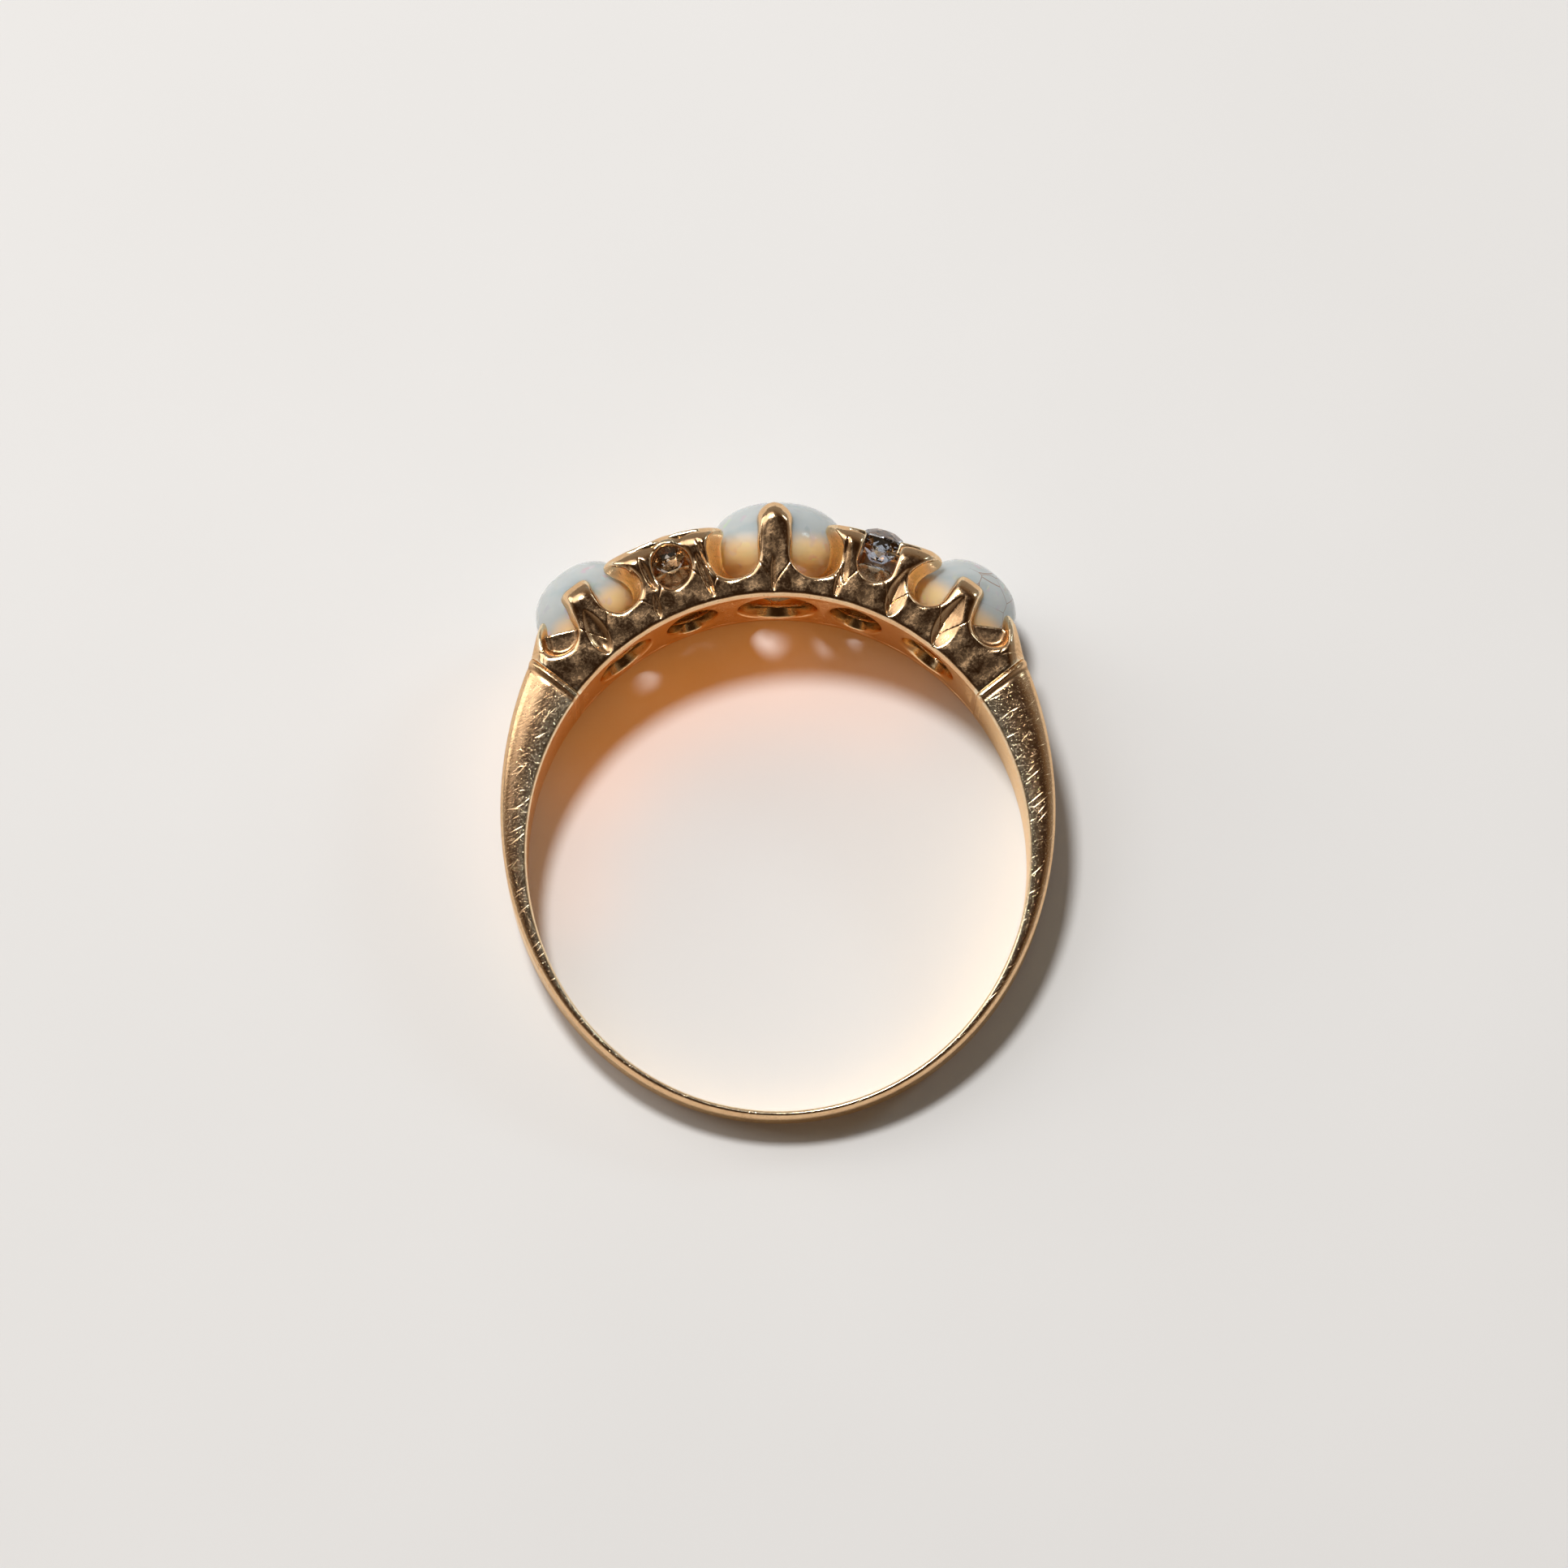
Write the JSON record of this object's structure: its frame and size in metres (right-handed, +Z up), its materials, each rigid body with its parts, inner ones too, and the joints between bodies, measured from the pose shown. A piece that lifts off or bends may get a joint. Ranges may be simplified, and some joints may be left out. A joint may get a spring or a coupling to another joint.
{
  "type": "ring",
  "caption": "Antique half-hoop ring in gold: oval opal cabochons in claws with paired diamonds between them, on a scalloped and pierced gallery and a tapering shank.",
  "frame": {"origin": "on the surface that the ring lies on, under the middle of its bounding box", "axes": "+Y across the finger hole towards the middle of the stones, +X across the finger hole to the right, +Z up from the side face it lies on, close to the finger's direction"},
  "size_m": [0.0188, 0.0212, 0.0064],
  "materials": {
    "gold": "worn polish, fine scratches, darker in the recesses",
    "opal": "polished, milky and translucent, tan towards the base",
    "diamond": "polished facets"
  },
  "bodies": {
    "root": {"shank": "gold", "gallery_rail": "gold", "gallery_wall_front": "gold", "claw_front_end_left": "gold", "claw_front_opal_left": "gold", "claw_front_pair_left_outer": "gold", "claw_front_pair_left_inner": "gold", "claw_front_opal_centre": "gold", "claw_front_pair_right_inner": "gold", "claw_front_pair_right_outer": "gold", "claw_front_opal_right": "gold", "claw_front_end_right": "gold", "gallery_wall_back": "gold", "claw_back_end_left": "gold", "claw_back_opal_left": "gold", "claw_back_pair_left_outer": "gold", "claw_back_pair_left_inner": "gold", "claw_back_opal_centre": "gold", "claw_back_pair_right_inner": "gold", "claw_back_pair_right_outer": "gold", "claw_back_opal_right": "gold", "claw_back_end_right": "gold", "diamond_saddle_left": "gold", "diamond_left_front": "diamond", "diamond_left_back": "diamond", "diamond_saddle_right": "gold", "diamond_right_front": "diamond", "diamond_right_back": "diamond", "opal_left": "opal", "opal_centre": "opal", "opal_right": "opal"}
  },
  "joints": []
}
